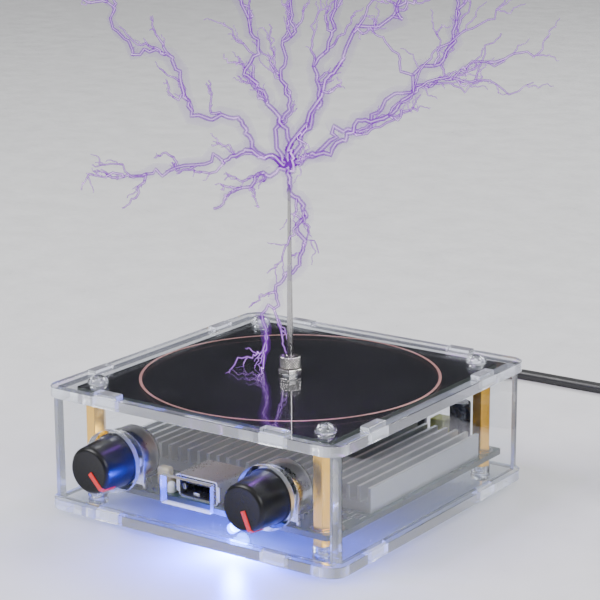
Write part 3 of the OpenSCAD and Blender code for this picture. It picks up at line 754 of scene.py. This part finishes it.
def add_port():
    low, high = span("port_shell")
    w, h = 14.4, high.z - low.z
    back = low.y - high.y
    mouth = mm_place((low.x + high.x) / 2, low.y, low.z + h / 2, FORWARD)
    form = Form(mouth)
    form.sleeve(rounded(w, h, 0.9), rounded(w - 0.8, h - 0.8, 0.5), back, -0.02)
    form.prism(rounded(w - 0.4, h - 0.4, 0.7), back, back + 0.4)
    for s in (-1, 1):
        lug, spring = s * 7.6, s * 3
        form.block((lug - 0.5, -2.2, -0.4), (lug + 0.35, 2.2, -0.02), 0.12)
        form.block((spring - 1.1, h / 2 - 0.35, -8), (spring + 1.1, h / 2 - 0.02, -2.5), 0.1)
        form.block((spring - 1.1, -h / 2 + 0.45, -7), (spring + 1.1, -h / 2 + 0.8, -2.5), 0.12)
    form.done("port_shell_piece", [TIN], nodes=["port_shell"])
    form = Form(mouth)
    form.block((-5.6, 0.1, -13), (5.6, 1.7, -1.2), 0.25)
    form.block((-6.7, -3, back + 0.5), (6.7, 3, back + 2), 0.2)
    form.slot = 1
    for x in (-3.5, -1, 1, 3.5):
        form.block((x - 0.5, 0.02, -12), (x + 0.5, 0.16, -1.8), 0.03)
    form.done("port_tongue_piece", [MOULDED, GOLD], nodes=["port_tongue"])
    softened("port_springs", 0.15, [TIN])


def add_lamps():
    low, high = span("blue_led")
    length, r, flange_r = high.y - low.y, 1.5, 1.88
    form = Form(mm_place((low.x + high.x) / 2, high.y, (low.z + high.z) / 2, FORWARD))
    form.lathe([(0, 0), (flange_r - 0.08, 0), (flange_r, 0.1), (flange_r, 0.85), (flange_r - 0.08, 0.95),
                (r, 1.02), *dome(r, length - r, length)], 40)
    form.done("blue_lamp", [LAMP_BLUE], nodes=["blue_led"])
    softened("led_leads", 0.08, [TIN])
    low, high = span("status_led")
    h, r, flange_r = high.z - low.z, 1.3, 1.38
    form = Form(mm_place((low.x + high.x) / 2, (low.y + high.y) / 2, low.z))
    form.lathe([(0, 0.01), (flange_r, 0.01), (flange_r, 0.5), (r, 0.6), *dome(r, h - r, h)], 40)
    form.done("status_lamp", [LAMP_WHITE], nodes=["status_led"])


# ---- Small parts on the main board ----


def add_inductor():
    low, high = span("wire_inductor")
    y, z, r = (low.y + high.y) / 2, (low.z + high.z) / 2, (high.z - low.z) / 2 - 0.4
    start, end = low.x + 0.4, high.x - 0.4
    turns, steps = 6, 24
    path = [(start, y - r, low.z), (start, y - r, low.z + 0.8)]
    for i in range(turns * steps + 1):
        a = TURN * (0.5 + i / steps)
        path.append((start + (end - start) * i / (turns * steps), y + r * math.cos(a), z - r * math.sin(a)))
    path += [(end, y - r, low.z + 0.8), (end, y - r, low.z)]
    form = Form(CASE)
    form.tube(path, 0.38, 10)
    form.done("wire_coil", [TIN], nodes=["wire_inductor"])
    softened("inductor_core", 0.2, [FERRITE])


def can(form, x, y, low, r, h):
    """A can capacitor: a printed sleeve with a crimped waist, and a bare metal top with scored vents."""
    form.place = mm_place(x, y, low)
    form.slot = 0
    form.lathe([(0, 0.02), (r - 0.3, 0.02), (r, 0.3), (r, 1.2), (r - 0.3, 1.6), (r - 0.3, 1.9), (r, 2.3),
                (r, h - 0.5), (r - 0.15, h - 0.15), (r - 0.5, h - 0.02), (r - 0.8, h - 0.1)], 48)
    form.slot = 1
    form.lathe([(r - 0.8, h - 0.1), (r - 0.9, h - 0.2), (0, h - 0.2)], 48)
    reach, score_z = r - 1.2, h - 0.19
    for a in (0, TURN / 3, 2 * TURN / 3):
        form.tube([(0, 0, score_z), (reach * math.cos(a), reach * math.sin(a), score_z)], 0.1, 4)


def add_capacitors():
    low, high = span("film_capacitor")
    mid_y = (low.y + high.y) / 2
    form = Form(CASE)
    form.block((low.x, low.y, low.z + 0.5), high, 0.9, 4)
    form.slot = 1
    for x in (low.x + 0.9, high.x - 0.9):
        form.tube([(x, mid_y, low.z), (x, mid_y, low.z + 1)], 0.3)
    form.done("film_capacitor_piece", [BEIGE, SOLDER], nodes=["film_capacitor"])
    softened("box_capacitor", 0.35, [YELLOW])
    foot = span("can_capacitors")[0].z
    form = Form()
    for x, r, h in ((32.5, 3.15, 14), (7.5, 4, 12), (16.5, 4, 12)):
        can(form, x, 38, foot, r, h)
    form.done("can_capacitor_set", [SLEEVE, CAN_TOP], nodes=["can_capacitors"])


def add_wireless_module():
    """A small board with a metal can, a zigzag aerial and a row of edge contacts."""
    low, high = span("wireless_module")
    face, line = low.z + 0.83, 0.12
    form = Form(CASE)
    form.block((low.x, low.y, low.z + 0.01), (high.x, high.y, low.z + 0.8), 0.06)
    form.slot = 1
    form.block((low.x + 1, low.y + 1, low.z + 0.81), (low.x + 8.6, high.y - 1, high.z), 0.3, 3)
    form.slot = 2
    zigzag = [(high.x - 3.6 + 0.7 * (k // 2), high.y - 1 - (4 if k % 4 in (1, 2) else 0)) for k in range(9)]
    for (ax, ay), (bx, by) in zip(zigzag, zigzag[1:]):
        form.block((min(ax, bx) - line, min(ay, by) - line, face - 0.05),
                   (max(ax, bx) + line, max(ay, by) + line, face))
    for k in range(7):
        form.block((low.x - 0.02, low.y + 0.8 + k, low.z + 0.3), (low.x + 0.5, low.y + 1.3 + k, face))
    form.done("wireless_module_piece", [LACQUER_GREEN, TIN, GOLD], nodes=["wireless_module"])


def add_driver_chips():
    leg_pitch, z = 1.27, BOARD_HIGH
    form = Form(CASE)
    for x, y in ((10, -36), (-16, -32.5)):
        form.slot = 0
        form.block((x + 0.9, y + 0.05, z + 0.15), (x + 4.1, y + 4.95, z + 1.55), 0.12)
        form.slot = 1
        for k in range(4):
            a, b = y + 0.4 + leg_pitch * k, y + 0.8 + leg_pitch * k
            form.block((x, a, z + 0.02), (x + 0.6, b, z + 0.2), 0.05)
            form.block((x + 4.4, a, z + 0.02), (x + 5, b, z + 0.2), 0.05)
            form.block((x + 0.5, a, z + 0.05), (x + 4.5, b, z + 0.8), 0.05)
    form.done("driver_chip_set", [CHIP, TIN], nodes=["driver_chips"])


# What stands on the main board already: the low x and y of boxes, and their high x and y
KEEP_OUT = [(-36, -44, -18, -33), (-10, -44, 8, -27), (16, -44, 36, -33), (-44, -25.5, 44, 33),
            (9, -44, 16, -30), (-17, -34, -10, -26.5), (-20, -44, -12, -34), (22, -34, 31, -26.5),
            (-36, 33.5, -8, 44), (22, 34, 37, 44), (2, 33.5, 21, 44), (-7, 36, 2, 40),
            (-14, -43.5, -10, -38)]
KEEP_OUT += [(x - 4, y - 4, x + 4, y + 4) for x, y in POSTS]


def free(x, y, reach):
    """Whether a small part at a place stays clear of what stands there already."""
    return all(not (a - reach < x < c + reach and b - reach < y < d + reach) for a, b, c, d in KEEP_OUT)


def add_boards():
    softened("main_board", 0.06, [LACQUER_GREEN, LAMINATE], broad_faces(2))
    low, high = span("main_board")
    add_chips(high.z)
    add_joints(low.z, high.z)


def add_chips(deck):
    """Small soldered parts at random along the board's front and back, with printed bars beside them."""
    edge_x, front, back = 41.5, (-41.5, -26), (33.5, 41.5)
    heights, tries = (0.45, 0.8, 0.5), 1400
    long, short, cap_out = 1.0, 0.62, 0.1
    rng = random.Random(7)
    placed = []
    chips = Form(CASE)
    prints = Form(CASE)
    for _ in range(tries):
        x, y = rng.uniform(-edge_x, edge_x), rng.choice((rng.uniform(*front), rng.uniform(*back)))
        across = rng.random() < 0.5
        kind = rng.randrange(len(heights))
        if not free(x, y, 1.3) or any(abs(x - a) < 3.2 and abs(y - b) < 2.6 for a, b in placed):
            continue
        placed.append((x, y))
        dx, dy = (long, short) if across else (short, long)
        cap_x, cap_y = (0.36, 0.68) if across else (0.68, 0.36)
        chips.slot = kind
        chips.block((x - dx, y - dy, deck + HAIR), (x + dx, y + dy, deck + heights[kind]), 0.06)
        chips.slot = 3
        for s in (-1, 1):
            cx = x + s * (dx + cap_out) * across
            cy = y + s * (dy + cap_out) * (not across)
            chips.block((cx - cap_x, cy - cap_y, deck + 0.01), (cx + cap_x, cy + cap_y, deck + 0.3), 0.08)
            bar = x + s * (dx + 0.825)
            prints.block((bar - 0.075, y - dy - 0.5, deck + 0.005), (bar + 0.075, y + dy + 0.5, deck + 0.02))
    chips.done("board_small_parts", [RESISTOR, CERAMIC_TAN, CHIP, SOLDER])
    prints.done("board_print", [WHITE_PRINT])


def add_joints(under, deck):
    """The posts' tinned rings, and the solder around the pins of the larger parts."""
    r_in, r_out, low, high = 2.95, 3.7, 0.005, 0.03
    joints = Form()
    for x, y in POSTS:
        joints.place = mm_place(x, y, deck)
        joints.lathe([(r_in, low), (r_out, low), (r_out, high), (r_in, high)], 40, closed=True)
    pins = [(x + k, -36.6) for x in (-27, 25.5) for k in (-5, 0, 5)]
    pins += [(-1 + k, -30) for k in (-3.5, -1.2, 1.2, 3.5)]
    pins += [(x, 38) for x in (30.9, 34.1, 6, 9, 15, 18, -5, 0, 24.5, 27.5)]
    pins += [(-30, 36), (-30, 42), (-26.5, 40), (11.2, -36.2), (13.8, -36.2)]
    cone = [(0, -0.2), (0.95, -0.2), (0.95, 0.02), (0.6, 0.3), (0.4, 0.9), (0.25, 1.2), (0, 1.25)]
    for x, y in pins:
        joints.place = mm_place(x, y, under, DOWN)
        joints.lathe(cone, 16)
    joints.done("solder_joints", [SOLDER])


# ---- Power inlet and plug ----


def relief(name, root, cad_node, big, small, length):
    """A tapered strain relief whose ribs get finer towards the lead."""
    outline = [(0, 0.02), (big, 0.02)]
    ribs = 6
    for k in range(ribs):
        a, b = (k + 0.35) / ribs * length, (k + 0.75) / ribs * length
        ra, rb = (big + (small - big) * t / length for t in (a, b))
        outline += [(ra, a - 0.05), (ra - 0.45, a + 0.15), (rb - 0.45, b - 0.15), (rb, b + 0.05)]
    outline += [(small, length - 0.15), (small - 0.15, length), (1.6, length)]
    form = Form(mm_place(*root, BACKWARD))
    form.lathe(outline, 32)
    return form.done(name, [MOULDED], nodes=[cad_node])


def add_power_inlet():
    softened("dc_jack", 0.3, [MOULDED])
    low, high = span("jack_pin")
    x, z, length = (low.x + high.x) / 2, (low.z + high.z) / 2, high.y - low.y
    form = Form(mm_place(x, low.y, z, BACKWARD))
    form.lathe([(0, 0), (1, 0), *dome(1, length - 1, length)], 24)
    form.done("jack_pin_piece", [NICKEL], nodes=["jack_pin"])
    barrel, handle = add_barrel(x, z), add_handle(x, z)
    sleeve = relief("plug_relief_piece", (x, 66, z), "plug_relief", big=3.55, small=2.1, length=16)
    return [barrel, handle, sleeve]


def add_barrel(x, z):
    low, high = span("plug_barrel")
    r, bore_r, length = 2.72, 1.17, high.y - low.y + 0.1
    form = Form(mm_place(x, low.y, z, BACKWARD))
    outline = [(bore_r, 0.3), (1.5, 0), (2.5, 0), (r, 0.25), (r, length), (bore_r, length)]
    form.lathe(outline, 40, closed=True)
    return form.done("plug_barrel_piece", [NICKEL], nodes=["plug_barrel"])


def add_handle(x, z):
    low, high = span("plug_handle")
    length, grooves = high.y - low.y, 12

    def grip(a, i):
        """Grooves along the handle's widest stretch."""
        return 1 - (0.03 if 5 <= i <= 6 and math.cos(grooves * a) > 0.2 else 0)

    form = Form(mm_place(x, low.y, z, BACKWARD))
    form.lathe([(0, 0), (4.1, 0), (4.35, 0.25), (4.35, 1.5), (4.7, 1.6), (4.95, 3), (4.95, 12.5), (4.6, 16),
                (3.9, length - 0.2), (3.6, length), (0, length)], 96, wave=grip)
    return form.done("plug_handle_piece", [MOULDED], nodes=["plug_handle"])


# ---- Coil tie and mains adapter ----


def add_adapter():
    tie = softened("coil_tie", 0.35, [WEAVE])
    low, high = span("power_adapter")
    mid, size = (low + high) / 2, high - low
    form = Form(mm_place(mid.x, mid.y, 0))
    for a, b, inset in ((low.z, 11.8, 0), (11.7, 12.3, 0.35), (12.2, high.z, 0)):
        outline = rounded(size.x - 2 * inset, size.y - 2 * inset, 3 - inset, 5)
        form.prism(outline, a, b, 0 if inset else 0.5, 3)
    form.prism(rounded(20, 18, 1.5, middle_at=(0, 7)), high.z - 0.3, high.z + 0.15, 0.1)
    box = form.done("adapter_case", [MOULDED], nodes=["power_adapter"], smooth=40)
    pins = add_adapter_pins()
    root = (TAIL[0][0], 84, UPPER_Z)
    sleeve = relief("adapter_relief_piece", root, "adapter_relief", big=3.35, small=2.1, length=14)
    return [tie, box, pins, sleeve]


def add_adapter_pins():
    """Two mains pins, each with an insulating sleeve on its lower half."""
    low, high = span("adapter_pins")
    length, sleeve_r, pin_r = high.z - low.z, 1.97, 1.9
    pins = Form()
    for x in (low.x + 2, high.x - 2):
        pins.place = mm_place(x, (low.y + high.y) / 2, low.z)
        pins.slot = 0
        pins.lathe([(0, -0.2), (sleeve_r, -0.2), (sleeve_r, 9.8), (1.85, 10), (1.8, 10)], 32)
        pins.slot = 1
        pins.lathe([(1.8, 9.9), (pin_r, 10.05), (pin_r, length - 1), (1.6, length - 0.3), (1.1, length),
                    (0, length)], 32)
    return pins.done("adapter_pin_pair", [MOULDED, NICKEL], nodes=["adapter_pins"])


# ---- Floor and light ----
PANEL_AIM = Vector((0, 0, 0.03))


def add_light(name, kind, place, power, colour=(1, 1, 1)):
    data = bpy.data.lights.new(name, kind)
    data.energy = power
    data.color = colour
    light = bpy.data.objects.new(name, data)
    light.location = place
    show(light)
    return light


def add_panel(name, place, size, power):
    """A soft rectangular lamp that faces the case."""
    light = add_light(name, "AREA", place, power)
    light.data.shape = "RECTANGLE"
    light.data.size, light.data.size_y = size
    light.rotation_euler = (PANEL_AIM - Vector(place)).to_track_quat("-Z", "Y").to_euler()


def add_point(name, place, power, colour):
    light = add_light(name, "POINT", place, power, colour)
    light.data.shadow_soft_size = 0.002


def add_floor():
    bm = bmesh.new()
    bmesh.ops.create_grid(bm, x_segments=8, y_segments=8, size=8)
    mesh = bpy.data.meshes.new("floor")
    bm.to_mesh(mesh)
    bm.free()
    floor = bpy.data.objects.new("floor", mesh)
    floor.location.z = -HAIR * MM
    mesh.materials.append(surface("floor_pale", (0.74, 0.74, 0.75), 0.35, spread=0.02, grain=3, bump=0.02))
    show(floor)


def add_world():
    """A studio that is dark around the horizon and bright above. Its stops are heights and their levels."""
    world = bpy.data.worlds.new("studio")
    world.use_nodes = True
    tree = world.node_tree
    sky = tree.nodes["Background"]
    sky.inputs["Strength"].default_value = 1.0
    coords = node(tree, "TexCoord")
    parts = node(tree, "SeparateXYZ")
    ramp = node(tree, "ValToRGB")
    for height, level in ((0.0, 0.5), (0.02, 0.03), (0.36, 0.035), (0.6, 0.95), (1.0, 1.15)):
        stop = ramp.color_ramp.elements.new(height)
        stop.color = (level * 0.97, level * 0.98, level, 1)
    ramp.color_ramp.elements.remove(ramp.color_ramp.elements[0])
    ramp.color_ramp.elements.remove(ramp.color_ramp.elements[-1])
    join(coords, "Generated", parts, 0)
    join(parts, "Z", ramp, "Fac")
    join(ramp, "Color", sky, "Color")
    bpy.context.scene.world = world


def add_studio():
    add_floor()
    add_world()
    add_panel("key", (-0.5, -0.6, 0.75), (0.5, 0.5), 12)
    add_panel("fill", (0.8, -0.3, 0.5), (0.5, 0.4), 5)
    add_panel("back", (0.1, 0.9, 0.9), (0.8, 0.3), 9)
    add_point("blue_glow", at(12.5, -44.4, 7.3), 0.65, (0.02, 0.05, 1.0))
    add_point("spark_glow", at(0, 0, 108), 0.12, (0.5, 0.12, 1.0))


# ---- Spark: light, not a part of the object, so it is on the stage ----
# Where each main arc runs, in millimetres from the needle's tip: to the right, up, and away behind
ARCS = [[(0, 0, 0), (-14, 12, 6), (-30, 26, 2), (-44, 30, 8), (-54, 52, 4)],
        [(0, 0, 0), (-6, 20, -6), (-10, 38, -10), (-22, 58, -14)],
        [(0, 0, 0), (0, 16, 4), (2, 36, 8), (-2, 60, 10)],
        [(0, 0, 0), (8, 22, 10), (12, 40, 4), (20, 60, 8)],
        [(0, 0, 0), (16, 10, -8), (34, 22, -14), (46, 44, -10), (60, 56, -16)],
        [(0, 0, 0), (20, 8, 6), (38, 20, 14), (62, 26, 20)],
        [(0, 0, 0), (-12, 6, -10), (-28, 4, -22), (-46, 2, -26)],
        [(0, 0, 0), (-8, -4, 8), (-22, -16, 16)],
        [(0, -2, 0), (10, 26, -16), (30, 44, -30), (40, 60, -34)],
        [(0, 0, 0), (4, -12, 2), (4, -24, 3), (-4, -36, 4), (-7, -50, 6), (-8, -60, 6)]]


def jagged(points, rng, halvings=4, spread=0.13):
    """A broken line through the points, whose stretches are halved and pushed aside at random."""
    path = [Vector(p) for p in points]
    for _ in range(halvings):
        finer = [path[0]]
        for a, b in zip(path, path[1:]):
            reach = (b - a).length * spread
            finer += [(a + b) / 2 + Vector([rng.gauss(0, reach) for _ in range(3)]), b]
        path = finer
    return path


def add_branches(arcs, haze, path, radius, depth, rng):
    """An arc with its halo, and smaller arcs that leave it, depth times over."""
    arcs.tube(path, lambda t: radius * (1 - 0.75 * t), 5)
    haze.tube(path, lambda t: radius * (3.2 - 1.8 * t), 8)
    if not depth:
        return
    for _ in range(4 * depth):
        i = rng.randrange(len(path) // 6, len(path) - 1)
        ahead = (path[-1] - path[max(i - 8, 0)]).normalized()
        ahead = (ahead + Vector([rng.gauss(0, 0.45) for _ in range(3)])).normalized()
        length = (path[-1] - path[0]).length * rng.uniform(0.12, 0.36)
        branch = jagged([path[i], path[i] + ahead * length], rng)
        add_branches(arcs, haze, branch, radius * 0.55, depth - 1, rng)


def spark_material(name, core, edge, strength, cover):
    """Light with one colour amid an arc and another at its edge.

    cover is the share that it hides of what is behind it. Below 1, it fades to nothing at the edge."""
    mat = bpy.data.materials.new(name)
    mat.use_nodes = True
    mat.cycles.emission_sampling = "NONE"
    tree = mat.node_tree
    tree.nodes.clear()
    facing = node(tree, "LayerWeight", Blend=0.5)
    ramp = node(tree, "ValToRGB")
    ramp.color_ramp.elements[0].color = (*core, 1)
    ramp.color_ramp.elements[1].color = (*edge, 1)
    light = node(tree, "Emission", Strength=strength)
    fade = node(tree, "MapRange", **{"To Min": cover, "To Max": 0 if cover < 1 else 1})
    gap = node(tree, "BsdfTransparent")
    mix = node(tree, "MixShader")
    out = node(tree, "OutputMaterial")
    join(facing, "Facing", ramp, "Fac")
    join(facing, "Facing", fade, "Value")
    join(ramp, "Color", light, "Color")
    join(fade, "Result", mix, 0)
    join(gap, 0, mix, 1)
    join(light, 0, mix, 2)
    join(mix, 0, out, "Surface")
    return mat


def staged(form, name, mat):
    """A mesh that gives light and throws no shadow."""
    mesh = bpy.data.meshes.new(name)
    form.bm.to_mesh(mesh)
    form.bm.free()
    mesh.shade_smooth()
    mesh.materials.append(mat)
    thing = bpy.data.objects.new(name, mesh)
    thing.visible_shadow = False
    show(thing)
    return thing


def swell(t):
    """How wide the glow is along an arc, in millimetres. It starts and ends narrow."""
    return 0.8 + 5 * math.sqrt(t) * (1 - t)


def add_spark():
    rng = random.Random(5)
    tip = span("discharge_needle")[1].z
    right = Vector((math.cos(AZIMUTH), math.sin(AZIMUTH), 0))
    up = Vector((0, 0, 1))
    behind = up.cross(right)
    arcs, haze, glow = [Form(mm_place(0, 0, tip)) for _ in range(3)]
    for route in ARCS:
        path = jagged([right * x + up * z + behind * y for x, z, y in route], rng)
        add_branches(arcs, haze, path, 0.3, 2, rng)
        glow.tube(path[::2], swell, 12)
    violet = (0.32, 0.02, 0.8)
    arcs = staged(arcs, "spark_arcs", spark_material("spark_light", (0.95, 0.8, 1), (0.7, 0.3, 1), 2.2, 1))
    haze = staged(haze, "spark_haze", spark_material("spark_haze", violet, violet, 0.8, 0.6))
    glow = staged(glow, "spark_glow", spark_material("spark_glow", violet, violet, 0.9, 0.13))


lead.data.materials.append(SHEATH)
add_case()
add_fasteners()
add_coil()
add_needle()
add_thumb_nut()
add_heatsink()
add_transistors()
for side in ("left", "right"):
    add_control(side)
add_port()
add_lamps()
add_inductor()
add_capacitors()
add_wireless_module()
add_driver_chips()
add_boards()
on_lead = add_power_inlet() + add_adapter()
add_studio()
add_spark()

bpy.context.view_layer.update()
